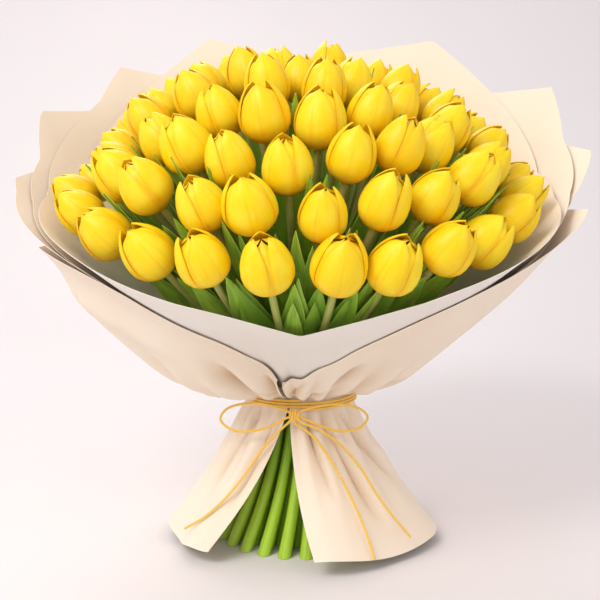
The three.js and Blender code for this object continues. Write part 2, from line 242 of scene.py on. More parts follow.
class Graph:
    """One material's nodes, ending in a Principled shader."""

    def __init__(self, name: str, **constants: float | Colour) -> None:
        """Starts a material.

        Args:
            name: The material's name.
            constants: Values for the shader's own sockets, with _ for a space.
        """
        self.material = bpy.data.materials.new(name)
        self.material.use_nodes = True
        self.tree = self.material.node_tree
        self.shader = self.tree.nodes["Principled BSDF"]
        for key, value in constants.items():
            self.shader.inputs[key.replace("_", " ")].default_value = value

    def node(self, kind: str, settings: dict, inputs: dict) -> bpy.types.Node:
        """Adds a node.

        Args:
            kind: The node's type.
            settings: Its own settings, with a ramp's stops under "stops".
            inputs: A value, colour, Value or socket for each input, by name or number.

        Returns:
            The node.
        """
        node = self.tree.nodes.new(kind)
        for key, value in settings.items():
            if key == "stops":
                elements = node.color_ramp.elements
                while len(elements) < len(value):
                    elements.new(1.0)
                for element, (position, colour) in zip(elements, value):
                    element.position = position
                    element.color = (*colour, 1.0)
            else:
                setattr(node, key, value)
        for key, value in inputs.items():
            socket = node.inputs[key]
            if isinstance(value, Value):
                value = value.socket
            if isinstance(value, bpy.types.NodeSocket):
                self.tree.links.new(value, socket)
            elif isinstance(value, tuple) and len(socket.default_value) == 4:
                socket.default_value = (*value, 1.0)
            else:
                socket.default_value = value
        return node

    def math(self, operation: str, first: Value | float, second: Value | float = 0.0) -> Value:
        """Returns a Math node's result."""
        node = self.node("ShaderNodeMath", {"operation": operation}, {0: first, 1: second})
        return Value(self, node.outputs[0])

    def uv(self) -> tuple[Value, Value]:
        """Reads the piece's own map.

        Returns:
            The share across and the share along.
        """
        node = self.node("ShaderNodeUVMap", {"uv_map": "UVMap"}, {})
        parts = self.node("ShaderNodeSeparateXYZ", {}, {0: node.outputs["UV"]})
        return Value(self, parts.outputs[0]), Value(self, parts.outputs[1])

    def attribute(self, name: str) -> Value:
        """Returns a number that is stored on the piece's points."""
        node = self.node("ShaderNodeAttribute", {"attribute_name": name}, {})
        return Value(self, node.outputs["Fac"])

    def vector(self, *parts: Value | float) -> bpy.types.NodeSocket:
        """Returns a vector with these three parts."""
        node = self.node("ShaderNodeCombineXYZ", {}, dict(enumerate(parts)))
        return node.outputs[0]

    def place(self) -> bpy.types.NodeSocket:
        """Returns the place on the object."""
        return self.node("ShaderNodeTexCoord", {}, {}).outputs["Object"]

    def noise(
        self, vector: bpy.types.NodeSocket, scale: float, detail: float = 3.0, rough: float = 0.55
    ) -> Value:
        """Makes smooth noise.

        Args:
            vector: Where it is read.
            scale: How fine it is.
            detail: How many finer layers it has.
            rough: How strong the finer layers are.

        Returns:
            The noise, from 0 to 1.
        """
        node = self.node(
            "ShaderNodeTexNoise",
            {},
            {"Vector": vector, "Scale": scale, "Detail": detail, "Roughness": rough},
        )
        return Value(self, node.outputs["Fac"])

    def mix(
        self,
        share: Value | float,
        first: Colour | bpy.types.NodeSocket,
        second: Colour | bpy.types.NodeSocket,
    ) -> bpy.types.NodeSocket:
        """Mixes two colours.

        Args:
            share: How much of the second there is.
            first: The first colour.
            second: The second colour.

        Returns:
            The mixed colour.
        """
        node = self.node("ShaderNodeMix", {"data_type": "RGBA"}, {0: share, 6: first, 7: second})
        return node.outputs[2]

    def ramp(self, value: Value, stops: Sequence[tuple[float, Colour]]) -> bpy.types.NodeSocket:
        """Returns the colour that a value has on a ramp."""
        return self.node("ShaderNodeValToRGB", {"stops": stops}, {0: value}).outputs["Color"]

    def dress(
        self,
        colour: bpy.types.NodeSocket,
        roughness: Value | None = None,
        height: Value | None = None,
        depth: float = 0.0003,
        strength: float = 0.5,
    ) -> bpy.types.Material:
        """Links what varies into the shader.

        Args:
            colour: The base colour.
            roughness: The roughness, if it varies.
            height: The relief, from 0 to 1.
            depth: How deep the relief is, in metres.
            strength: How strongly the relief shows.

        Returns:
            The finished material.
        """
        links = self.tree.links
        links.new(colour, self.shader.inputs["Base Color"])
        if roughness:
            links.new(roughness.socket, self.shader.inputs["Roughness"])
        if height:
            settings = {"Height": height, "Distance": depth, "Strength": strength}
            bump = self.node("ShaderNodeBump", {}, settings)
            links.new(bump.outputs["Normal"], self.shader.inputs["Normal"])
        return self.material


# ---- finishes ----


@dataclass(frozen=True)
class PetalFinish:
    """Waxy yellow petals, golden at their base, with fine veins, and painted shade in deeper gold
    along their seams and midrib.
    """

    lemon: Colour = (1.0, 0.69, 0.004)
    butter: Colour = (1.0, 0.80, 0.035)
    gold: Colour = (0.97, 0.49, 0.002)
    peach: Colour = (1.0, 0.58, 0.03)
    flame: Colour = (0.88, 0.30, 0.01)

    def material(self) -> bpy.types.Material:
        """Makes the petals' material.

        Returns:
            The material.
        """
        g = Graph(
            "petal_skin",
            Subsurface_Weight=0.18,
            Subsurface_Radius=(1.0, 0.6, 0.08),
            Subsurface_Scale=0.004,
            Specular_IOR_Level=0.32,
        )
        across, along = g.uv()
        tone = g.attribute("tone")
        off = (across * 2 - 1).size()
        veins = g.noise(g.vector(across * 34, along * 1.7, tone * 9), 1.0, 4.0)
        broad = g.noise(g.vector(across * 2.2, along * 2.6, tone * 23), 1.0, 2.0)
        skin = g.mix(broad.step(0.35, 0.72) * 0.75, self.lemon, self.butter)
        skin = g.mix(veins.step(0.5, 0.72) * 0.35, skin, self.gold)
        low = (1 - along.step(0.02, 0.42)) * 0.8
        skin = g.mix(low, skin, self.peach)
        # Painted shade: deeper gold along the edges where the petals lap.
        seam_shade = off.step(0.78, 1.0) * (1 - along * 0.35) * 0.75
        skin = g.mix(seam_shade, skin, self.gold)
        # Painted shade: deeper gold down the grooved midrib, fading towards the tip.
        rib_shade = (1 - off.step(0.0, 0.09)) * (1 - along.step(0.55, 0.95)) * 0.35
        skin = g.mix(rib_shade, skin, self.gold)
        rim = along.step(0.94, 1.0) * veins.step(0.4, 0.6) * 0.5
        skin = g.mix(rim, skin, self.flame)
        skin = g.mix(tone * 0.28, skin, self.gold)
        relief = veins * 0.6 + (1 - off.step(0.0, 0.12)) * -0.25
        return g.dress(skin, veins * 0.16 + 0.34, relief, 0.00035, 0.55)


@dataclass(frozen=True)
class PistilFinish:
    """The green and ochre middle of a bloom."""

    green: Colour = (0.30, 0.36, 0.05)
    ochre: Colour = (0.62, 0.30, 0.02)

    def material(self) -> bpy.types.Material:
        """Makes the pistil's material.

        Returns:
            The material.
        """
        g = Graph("pistil_skin", Roughness=0.6)
        grain = g.noise(g.place(), 900.0)
        return g.dress(g.mix(grain.step(0.4, 0.65), self.green, self.ochre), None, grain, 0.0002)


@dataclass(frozen=True)
class StemFinish:
    """Stems: bright green on the floor, paler and browner under the bloom."""

    foot: Colour = (0.27, 0.50, 0.022)
    lime: Colour = (0.46, 0.70, 0.04)
    middle: Colour = (0.16, 0.31, 0.03)
    neck: Colour = (0.42, 0.40, 0.13)
    shade: Colour = (0.07, 0.17, 0.012)

    def material(self) -> bpy.types.Material:
        """Makes the stems' material.

        Returns:
            The material.
        """
        g = Graph("stem_skin", Subsurface_Weight=0.08, Subsurface_Scale=0.003, Coat_Weight=0.08)
        around_it, along = g.uv()
        tone = g.attribute("tone")
        colour = g.ramp(
            along,
            ((0.0, self.lime), (0.16, self.lime), (0.34, self.foot), (0.62, self.middle),
             (0.86, self.neck), (1.0, self.neck)),
        )
        streak = g.noise(g.vector(around_it * 16, along * 5, tone * 31), 1.0, 4.0)
        colour = g.mix(streak.step(0.45, 0.75) * 0.45, colour, self.shade)
        colour = g.mix(tone * 0.3, colour, self.foot)
        return g.dress(colour, streak * 0.2 + 0.32, streak, 0.0003, 0.4)


@dataclass(frozen=True)
class LeafFinish:
    """Smooth green leaves with parallel veins, a pale midrib and pale edges."""

    bright: Colour = (0.42, 0.68, 0.045)
    deep: Colour = (0.16, 0.36, 0.022)
    pale: Colour = (0.64, 0.80, 0.20)

    def material(self) -> bpy.types.Material:
        """Makes the leaves' material.

        Returns:
            The material.
        """
        g = Graph("leaf_skin", Subsurface_Weight=0.08, Subsurface_Scale=0.003, Coat_Weight=0.05)
        across, along = g.uv()
        tone = g.attribute("tone")
        off = (across * 2 - 1).size()
        fibre = g.noise(g.vector(across * 26, along * 1.1, tone * 17), 1.0, 5.0)
        cloud = g.noise(g.vector(across * 1.5, along * 3.5, tone * 41), 1.0, 2.0)
        lines = (across * 210 + fibre * 5).wave() * 0.5 + 0.5
        colour = g.mix(cloud.step(0.3, 0.7), self.deep, self.bright)
        colour = g.mix(fibre.step(0.45, 0.75) * 0.45, colour, self.pale)
        colour = g.mix(lines * 0.16, colour, self.deep)
        colour = g.mix((1 - off.step(0.0, 0.05)) * 0.35, colour, self.pale)
        colour = g.mix(off.step(0.9, 1.0) * 0.6, colour, self.pale)
        colour = g.mix(tone * 0.6, colour, self.deep)
        return g.dress(colour, fibre * 0.2 + 0.34, lines * 0.5 + fibre * 0.5, 0.0003, 0.45)


@dataclass(frozen=True)
class PaperFinish:
    """Matt wrapping paper with fine fibres and faint clouds of tone, painted shade in its folds
    and pleats, and a painted warm, lit tone at its sides.
    """

    name: str
    light: Colour
    warm: Colour
    fibre: Colour
    # The painted warm, lit tone that the sides take.
    aside: Colour
    # The painted shade in the folds and pleats.
    shade: Colour = (0.66, 0.43, 0.235)

    def material(self) -> bpy.types.Material:
        """Makes the paper's material.

        Returns:
            The material.
        """
        g = Graph(
            self.name,
            Subsurface_Weight=0.12,
            Subsurface_Radius=(1.0, 0.75, 0.55),
            Subsurface_Scale=0.006,
            Sheen_Weight=0.08,
        )
        place = g.place()
        cloud = g.noise(place, 9.0, 3.0)
        grain = g.noise(place, 1400.0, 4.0, 0.65)
        stretched = g.node(
            "ShaderNodeMapping", {}, {"Vector": place, "Scale": Vector((900.0, 900.0, 120.0))}
        )
        strand = g.noise(stretched.outputs[0], 1.0, 3.0)
        colour = g.mix(cloud.step(0.35, 0.7) * 0.6, self.light, self.warm)
        colour = g.mix(strand.step(0.56, 0.8) * 0.22, colour, self.fibre)
        colour = g.mix(grain.step(0.55, 0.8) * 0.16, colour, self.fibre)
        # Painted light: the sides of a sheet, above all the liner's, take a warmer, lit cream
        # tone.
        colour = g.mix(g.attribute("side"), colour, g.mix(cloud * 0.5, self.aside, colour))
        # Painted shade: darker, warmer paper in the folds' pockets and the pleats' hollows.
        colour = g.mix(g.attribute("crease") * 0.7, colour, self.shade)
        return g.dress(colour, grain * 0.15 + 0.68, grain * 0.6 + strand * 0.4, 0.00018, 0.5)


@dataclass(frozen=True)
class TwineFinish:
    """Golden twine: three laid strands and loose fibres, with painted shade in the grooves between
    the strands.
    """

    gold: Colour = (0.95, 0.57, 0.05)
    straw: Colour = (1.0, 0.74, 0.17)
    # Darker gold for grain specks and for the painted shade in the grooves.
    groove: Colour = (0.66, 0.30, 0.015)

    def material(self) -> bpy.types.Material:
        """Makes the twine's material.

        Returns:
            The material.
        """
        g = Graph("twine_fibre", Sheen_Weight=0.3, Sheen_Roughness=0.5)
        # How deep a point lies between strands, read as the share of painted shade.
        groove = g.attribute("groove")
        around_it, along = g.uv()
        grain = g.noise(g.place(), 1500.0, 4.0, 0.7)
        hairs = g.noise(g.vector(around_it * 14, along * 160, 0.0), 1.0, 3.0)
        colour = g.mix(hairs.step(0.35, 0.7), self.gold, self.straw)
        colour = g.mix(grain.step(0.55, 0.8) * 0.4, colour, self.groove)
        # Painted shade: darker gold deep in the grooves between the strands.
        colour = g.mix(groove * 0.8, colour, self.groove)
        return g.dress(colour, grain * 0.2 + 0.62, hairs * 0.5 + grain * 0.5, 0.0003, 0.7)


@dataclass(frozen=True)
class FloorFinish:
    """The plain pale floor and wall."""

    colour: Colour = (0.80, 0.765, 0.775)

    def material(self) -> bpy.types.Material:
        """Makes the floor's material.

        Returns:
            The material.
        """
        g = Graph("studio_white", Roughness=0.75)
        cloud = g.noise(g.place(), 2.0, 2.0)
        pale = tuple(part * 0.97 for part in self.colour)
        return g.dress(g.mix(cloud, self.colour, pale))


# ---- the workbench ----


class Bench:
    """Modelling moves that every sub-assembly shares."""

    @staticmethod
    def pick(*pieces: bpy.types.Object) -> None:
        """Selects these pieces and nothing else, the last one active."""
        bpy.ops.object.select_all(action="DESELECT")
        for piece in pieces:
            piece.select_set(True)
            bpy.context.view_layer.objects.active = piece

    @staticmethod
    def reshape(piece: bpy.types.Object, place: Place) -> None:
        """Moves a flat unit grid's points.

        Args:
            piece: The grid.
            place: Where a point at a share across and a share along goes, in millimetres.
        """
        mesh = piece.data
        flat = np.empty(len(mesh.vertices) * 3)
        mesh.vertices.foreach_get("co", flat)
        for row in flat.reshape(-1, 3):
            row[:] = place(row[0] + 0.5, row[1] + 0.5) * MM
        mesh.vertices.foreach_set("co", flat)
        mesh.update()

    @classmethod
    def grid(cls, name: str, columns: int, rows: int, place: Place) -> bpy.types.Object:
        """Adds a grid and shapes it.

        Args:
            name: The piece's name.
            columns: Faces across.
            rows: Faces along.
            place: Where a point at a share across and a share along goes, in millimetres.

        Returns:
            The piece. Its map holds the two shares.
        """
        bpy.ops.object.select_all(action="DESELECT")
        bpy.ops.mesh.primitive_grid_add(x_subdivisions=columns, y_subdivisions=rows, size=1.0)
        piece = bpy.context.active_object
        piece.name = piece.data.name = name
        cls.reshape(piece, place)
        return piece

    @classmethod
    def solidify(cls, piece: bpy.types.Object, thickness: float, offset: float = -1.0) -> None:
        """Gives an open surface a wall.

        Args:
            piece: The piece.
            thickness: The wall's thickness, in millimetres.
            offset: The side that the wall is on: 1 outside, -1 inside.
        """
        cls.pick(piece)
        wall = piece.modifiers.new("wall", "SOLIDIFY")
        wall.thickness = thickness * MM
        wall.offset = offset
        bpy.ops.object.modifier_apply(modifier=wall.name)

    @classmethod
    def join(cls, name: str, pieces: Sequence[bpy.types.Object]) -> bpy.types.Object:
        """Joins pieces into one and names it.

        Args:
            name: The piece's name.
            pieces: The pieces.

        Returns:
            The joined piece.
        """
        cls.pick(*pieces)
        if len(pieces) > 1:
            bpy.ops.object.join()
        piece = bpy.context.active_object
        piece.name = piece.data.name = name
        return piece

    @classmethod
    def close(cls, piece: bpy.types.Object, holes: bool = False) -> None:
        """Welds seams and poles.

        Args:
            piece: The piece.
            holes: Whether open ends are filled too.
        """
        cls.pick(piece)
        bpy.ops.object.mode_set(mode="EDIT")
        bpy.ops.mesh.select_all(action="SELECT")
        bpy.ops.mesh.remove_doubles(threshold=0.01 * MM)
        if holes:
            bpy.ops.mesh.select_all(action="SELECT")
            bpy.ops.mesh.fill_holes(sides=0)
            bpy.ops.mesh.select_all(action="SELECT")
            bpy.ops.mesh.normals_make_consistent(inside=False)
        bpy.ops.object.mode_set(mode="OBJECT")

    @classmethod
    def smooth(cls, piece: bpy.types.Object, angle: float = 45.0) -> None:
        """Smooths the shading across edges flatter than an angle in degrees."""
        cls.pick(piece)
        bpy.ops.object.shade_smooth_by_angle(angle=math.radians(angle))

    @staticmethod
    def mark(piece: bpy.types.Object, name: str, value: float | Sequence[float]) -> None:
        """Stores a number on each point.

        Args:
            piece: The piece.
            name: The attribute's name.
            value: One number for all points, or one each.
        """
        mesh = piece.data
        layer = mesh.attributes.new(name, "FLOAT", "POINT")
        count = len(mesh.vertices)
        values = np.full(count, value) if isinstance(value, float) else np.asarray(value)
        layer.data.foreach_set("value", values.astype(np.float32))

    @staticmethod
    def copy(piece: bpy.types.Object, name: str) -> bpy.types.Object:
        """Copies a piece with its own mesh.

        Args:
            piece: The piece.
            name: The copy's name.

        Returns:
            The copy.
        """
        twin = piece.copy()
        twin.data = piece.data.copy()
        twin.name = twin.data.name = name
        bpy.context.scene.collection.objects.link(twin)
        return twin

    @staticmethod
    def dress(piece: bpy.types.Object, *materials: bpy.types.Material) -> None:
        """Gives a piece its materials."""
        piece.data.materials.clear()
        for material in materials:
            piece.data.materials.append(material)

    @staticmethod
    def register(piece: bpy.types.Object, slot: Slot, nodes: Sequence[str]) -> None:
        """Makes a piece ride on the body and stand for its nodes.

        Args:
            piece: The piece.
            slot: Its material slot; not used.
            nodes: The nodes that it stands for.
        """
        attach(piece, BODY)
        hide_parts(*nodes)


# ---- where everything stands ----


@dataclass(frozen=True)
class Ring:
    """One ring of tulips: how many, the first one's azimuth, how many share a node."""

    name: str
    count: int
    turn: float
    grouped: int


@dataclass
class Tulip:
    """One tulip: its place in the bunch and its stem's line, in millimetres."""

    ring: int
    number: int
    node: str
    azimuth: float
    base: Vector
    axis: Vector
    size: float
    stem: Path


@dataclass
class BunchLayout:
    """The sizes that fix where each tulip stands, as the solid model has them."""

    stem_diameter: float = 7.6
    cut_diameter: float = 13.0
    ring_pitch: float = 8.2
    foot_radius: float = 83.0
    stem_twist: float = 18.0
    waist_height: float = 155.0
    bloom_length: float = 55.0
    dome_radius: float = 220.0
    dome_rise: float = 118.0
    dome_tip: float = 15.0
    dome_depth: float = 4.0
    dome_height: float = 358.0
    lean_side: float = 52.0
    lean_front: float = 28.0
    lean_back: float = 32.0
    azimuth_spread: float = 1.8
    along_spread: float = 6.0
    size_spread: float = 0.05
    back_shrink: float = 0.16
    out_share: float = 0.1
    up_share: float = 0.2
    back_share: float = 0.3
    rings: tuple[Ring, ...] = (
        Ring("crown", 1, 0.0, 1),
        Ring("first_ring", 6, 25.0, 3),
        Ring("second_ring", 12, 10.0, 3),
        Ring("third_ring", 18, -4.0, 3),
        Ring("fourth_ring", 21, 5.6, 3),
        Ring("rim", 24, 7.0, 1),
    )

    @property
    def last(self) -> int:
        """The number of the outermost ring, the rim."""
        return len(self.rings) - 1

    @property
    def waist_radius(self) -> float:
        """The radius of the outermost stems at the tie."""
        return self.last * self.ring_pitch

    @staticmethod
    def vary(place: float, azimuth: float, trait: int) -> float:
        """Returns an even spread from -1 to 1, always the same for a tulip and a trait."""
        wave = math.sin(place * 91.7 + azimuth * 12.9898 + trait * 78.233) * 43758.5453
        return (wave - math.floor(wave)) * 2 - 1

    def bloom_centre(self, place: float, azimuth: float) -> Vector:
        """Finds the middle of a bloom on the tipped dome.

        Args:
            place: From the crown (0) to the rim (1).
            azimuth: The azimuth, in degrees.

        Returns:
            The point, in millimetres.
        """
        sphere = (self.dome_radius**2 + self.dome_rise**2) / (2 * self.dome_rise)
        polar = math.asin(self.dome_radius / sphere) * place
        height = sphere * (math.cos(polar) - 1) + self.dome_rise
        point = around(sphere * math.sin(polar), azimuth, height)
        point.rotate(Matrix.Rotation(math.radians(self.dome_tip), 3, "X"))
        return point + Vector((0, self.dome_depth, self.dome_height))

    def bloom_axis(self, place: float, azimuth: float) -> Vector:
        """Finds the way a bloom points.

        Args:
            place: From the crown (0) to the rim (1).
            azimuth: The azimuth, in degrees.

        Returns:
            The direction, of length 1.
        """
        angle = math.radians(azimuth)
        depth = self.lean_front if math.cos(angle) > 0 else self.lean_back
        side = place * math.tan(math.radians(self.lean_side)) * math.sin(angle)
        front = -place * math.tan(math.radians(depth)) * math.cos(angle)
        return Vector((side, front, 1)).normalized()

    def stem_line(self, place: float, azimuth: float, base: Vector, axis: Vector) -> Path:
        """Finds a stem's line, from its cut end through the tie to its bloom.

        Args:
            place: From the crown (0) to the rim (1).
            azimuth: Its azimuth at the tie, in degrees.
            base: The bloom's foot.
            axis: The way the bloom points.

        Returns:
            The line, in millimetres.
        """
        waist_radius = self.waist_radius
        flare = (self.foot_radius / waist_radius) ** 2 - 1
        points = []
        for step in range(12):
            drop = 1 - step / 12
            radius = waist_radius * place * math.sqrt(1 + flare * drop * drop)
            height = self.waist_height * (1 - drop)
            points.append(around(radius, azimuth - self.stem_twist * drop, height))
        waist = around(waist_radius * place, azimuth, self.waist_height)
        span = (base - waist).length
        out = waist + around(place * span * self.out_share, azimuth, span * self.up_share)
        back = base - axis * span * self.back_share
        points += [bezier(waist, out, back, base, step / 18) for step in range(19)]
        return Path(points)

    def tulip(self, ring: int, number: int) -> Tulip:
        """Places one tulip.

        Args:
            ring: The ring, from the crown outwards.
            number: The tulip's number in its ring, from 0.

        Returns:
            The tulip.
        """
        kind = self.rings[ring]
        place = ring / self.last
        azimuth = kind.turn + number * 360 / kind.count
        shifted = azimuth + self.azimuth_spread * self.vary(place, azimuth, 1)
        axis = self.bloom_axis(place, shifted)
        centre = self.bloom_centre(place, shifted)
        back = smoothstep(centre.y, -self.dome_radius / 2, self.dome_radius / 4)
        size = 1 + self.size_spread * self.vary(place, azimuth, 3) - self.back_shrink * back
        along = self.along_spread * self.vary(place, azimuth, 2) - self.bloom_length * size / 2
        base = centre + axis * along
        stem = self.stem_line(place, azimuth, base, axis)
        prefix = "tulips_" if kind.grouped > 1 else "tulip_"
        suffix = f"_{number // kind.grouped + 1:02d}" if kind.count > 1 else ""
        return Tulip(ring, number, prefix + kind.name + suffix, azimuth, base, axis, size, stem)

    def tulips(self) -> list[Tulip]:
        """Returns every tulip, ring by ring."""
        return [
            self.tulip(ring, number)
            for ring, kind in enumerate(self.rings)
            for number in range(kind.count)
        ]


# ---- blooms ----


@dataclass
class BloomMaker:
    """Closed blooms: three outer petals lapped over three inner ones, round a pistil."""

    layout: BunchLayout
    width: float = 45.0
    wall: float = 0.7
    columns: int = 14
    rows: int = 18
    kinds: int = 6
    inner_heights: tuple[float, float] = (0.945, 0.985)
    outer_heights: tuple[float, float] = (0.975, 1.03)
    tips: tuple[float, float] = (-0.05, 0.15)
    sways: tuple[float, float] = (-0.06, 0.06)
    flares: tuple[float, float] = (0.2, 1.5)
    outer_half: float = 57.0
    inner_half: float = 60.0
    inner_inset: float = 1.3
    outer_bulge: float = 0.9
    cup: float = 1.5
    lap: float = 0.35
    hook: float = 0.9
    rib_depth: float = 0.45
    rib_width: float = 0.09
    pistil_radius: float = 2.0
    pistil_head: float = 2.4
    pistil_length: float = 27.0
    plumpness: tuple[float, float] = (0.96, 1.05)
    kind_seed: int = 310
    seed: int = 77
    profile: Pairs = (
        (0.0, 0.17), (0.03, 0.40), (0.08, 0.62), (0.16, 0.82), (0.27, 0.96), (0.38, 1.0),
        (0.52, 0.975), (0.66, 0.88), (0.78, 0.745), (0.87, 0.60), (0.94, 0.45), (1.0, 0.29),
    )

    def petal(
        self, name: str, turn: float, inner: bool, dice: random.Random
    ) -> bpy.types.Object:
        """Models one petal on the side of the bloom that turn says.

        Args:
            name: The piece's name.
            turn: The petal's middle, in degrees round the bloom.
            inner: Whether it is one of the inner three.
            dice: Where its small differences come from.

        Returns:
            The petal, in the bloom's own frame.
        """
        half = self.inner_half if inner else self.outer_half
        height = dice.uniform(*(self.inner_heights if inner else self.outer_heights))
        tip = dice.uniform(*self.tips)
        sway = dice.uniform(*self.sways)
        flare = dice.uniform(*self.flares)
        length = self.layout.bloom_length

        def place(across_share: float, along: float) -> Vector:
            """Places a point of the petal.

            Args:
                across_share: The share across, from 0 to 1.
                along: The share along, from 0 to 1.

            Returns:
                The point, in millimetres.
            """
            across = across_share * 2 - 1
            shape = (1 - along**12) ** 0.5 if inner else (1 - along**8) ** 0.6
            angle = math.radians(turn + across * half * shape) + sway * along**3
            radius = value_at(self.profile, along) * self.width / 2
            belly = math.sin(math.pi * min(1.0, along * 1.02)) ** 0.7
            top = smoothstep(along, 0.7, 1.0)
            if inner:
                radius *= 1 - 0.8 * smoothstep(along, 0.86, 1.0)
                radius -= (self.inner_inset + self.cup * across * across) * belly
            else:
                lapped = self.outer_bulge - self.cup * across * across + self.lap * across
                radius += lapped * belly
                radius *= 1 + tip * top
                radius += flare * smoothstep(along, 0.88, 1.0) - self.hook * across * across * top
                radius -= self.rib_depth * math.exp(-((across / self.rib_width) ** 2)) * belly
            return Vector((radius * math.sin(angle), -radius * math.cos(angle),
                           along * length * height * (1 - 0.02 * across * across * along)))

        petal = Bench.grid(name, self.columns, self.rows, place)
        Bench.close(petal)
        Bench.solidify(petal, self.wall)
        return petal

    def pistil(self, name: str) -> bpy.types.Object:
        """Models the three-lobed pistil inside a bloom.

        Args:
            name: The piece's name.

        Returns:
            The pistil, in the bloom's own frame.
        """

        def place(across_share: float, along: float) -> Vector:
            """Places a point of the pistil.

            Args:
                across_share: The share across, from 0 to 1.
                along: The share along, from 0 to 1.

            Returns:
                The point, in millimetres.
            """
            angle = across_share * 2 * math.pi
            head = smoothstep(along, 0.72, 0.9) * (1 - along) * 8
            lobes = 0.6 + 0.4 * math.cos(3 * angle)
            radius = (self.pistil_radius + self.pistil_head * head * lobes) * (1 - along**12)
            return Vector((radius * math.sin(angle), -radius * math.cos(angle),
                           1 + along * self.pistil_length))

        pistil = Bench.grid(name, 12, 10, place)
        Bench.close(pistil, holes=True)
        return pistil

    def kind(self, number: int) -> bpy.types.Object:
        """Models one kind of bloom, to be copied.

        Args:
            number: Which kind it is.

        Returns:
            The bloom, in its own frame.
        """
        dice = random.Random(self.kind_seed + number)
        pieces = [self.petal(f"petal_{k}", k * 120, False, dice) for k in range(3)]
        pieces += [self.petal(f"petal_{k + 3}", 60 + k * 120, True, dice) for k in range(3)]
        petals = Bench.join("petals", pieces)
        pistil = self.pistil("pistil")
        Bench.dress(petals, self.petal_skin)
        Bench.dress(pistil, self.pistil_skin)
        bloom = Bench.join(f"bloom_kind_{number}", [pistil, petals])
        Bench.smooth(bloom, 50)
        return bloom

    def build(self, tulips: Sequence[Tulip]) -> list[bpy.types.Object]:
        """Makes every bloom.

        Args:
            tulips: Where the blooms go.

        Returns:
            The blooms, one piece each.
        """
        self.petal_skin = PetalFinish().material()
        self.pistil_skin = PistilFinish().material()
        kinds = [self.kind(number) for number in range(self.kinds)]
        dice = random.Random(self.seed)
        blooms = []
        for index, tulip in enumerate(tulips):
            ring = self.layout.rings[tulip.ring]
            suffix = f"_{tulip.number + 1:02d}" if ring.count > 1 else ""
            bloom = Bench.copy(kinds[(index * 5 + tulip.ring) % self.kinds],
                               f"bloom_{ring.name}{suffix}")
            side = Vector((0, 1, 0)).cross(tulip.axis).normalized()
            front = tulip.axis.cross(side)
            spin = Matrix.Rotation(math.radians(dice.uniform(-180, 180)), 4, "Z")
            turn = Matrix((side, front, tulip.axis)).transposed().to_4x4()
            plump = Matrix.Diagonal((dice.uniform(*self.plumpness),) * 2 + (1.0, 1.0))
            scale = Matrix.Scale(tulip.size, 4)
            move = Matrix.Translation(tulip.base * MM)
            bloom.data.transform(move @ turn @ spin @ plump @ scale)
            Bench.mark(bloom, "tone", dice.random())
            Bench.register(bloom, Slot.TULIP, [tulip.node])
            blooms.append(bloom)
        for piece in kinds:
            bpy.data.objects.remove(piece)
        return blooms


# ---- stems and leaves ----


@dataclass
class StemMaker:
    """Round stems with flat cut ends, joined ring by ring."""

    layout: BunchLayout
    sides: int = 10
    rows: int = 26
    neck_taper: float = 0.1
    seed: int = 12

    def stem(self, tulip: Tulip) -> bpy.types.Object:
        """Models one stem along its line.

        Args:
            tulip: The tulip that it belongs to.

        Returns:
            The stem, open at both ends.
        """
        thin, thick = self.layout.stem_diameter / 2, self.layout.cut_diameter / 2

        def place(across: float, along: float) -> Vector:
            """Places a point of the stem.

            Args:
                across: The share across, from 0 to 1.
                along: The share along, from 0 to 1.

            Returns:
                The point, in millimetres.
            """
            centre = tulip.stem.at(along)
            direction = tulip.stem.tangent(along)
            side = Vector((0, 1, 0)).cross(direction).normalized()
            front = direction.cross(side)
            drop = max(0.0, 1 - centre.z / self.layout.waist_height)
            radius = lerp(thin, thick, drop) * (1 - self.neck_taper * smoothstep(along, 0.6, 0.9))
            angle = across * 2 * math.pi
            point = centre + (side * math.cos(angle) + front * math.sin(angle)) * radius
            if along <= 0:
                point.z = 0.0
            return point

        return Bench.grid("stem", self.sides, self.rows, place)

    def build(self, tulips: Sequence[Tulip]) -> list[bpy.types.Object]:
        """Makes the stems.

        Args:
            tulips: The tulips that they belong to.

        Returns:
            The stems, one piece for each ring.
        """
        skin = StemFinish().material()
        dice = random.Random(self.seed)
        pieces = []
        for number, ring in enumerate(self.layout.rings):
            members = [tulip for tulip in tulips if tulip.ring == number]
            stems = []
            for tulip in members:
                stem = self.stem(tulip)
                Bench.mark(stem, "tone", dice.random())
                stems.append(stem)
            piece = Bench.join(f"stems_{ring.name}", stems)
            Bench.close(piece, holes=True)
            Bench.smooth(piece, 50)
            Bench.dress(piece, skin)
            Bench.register(piece, Slot.TULIP, sorted({tulip.node for tulip in members}))
            pieces.append(piece)
        return pieces


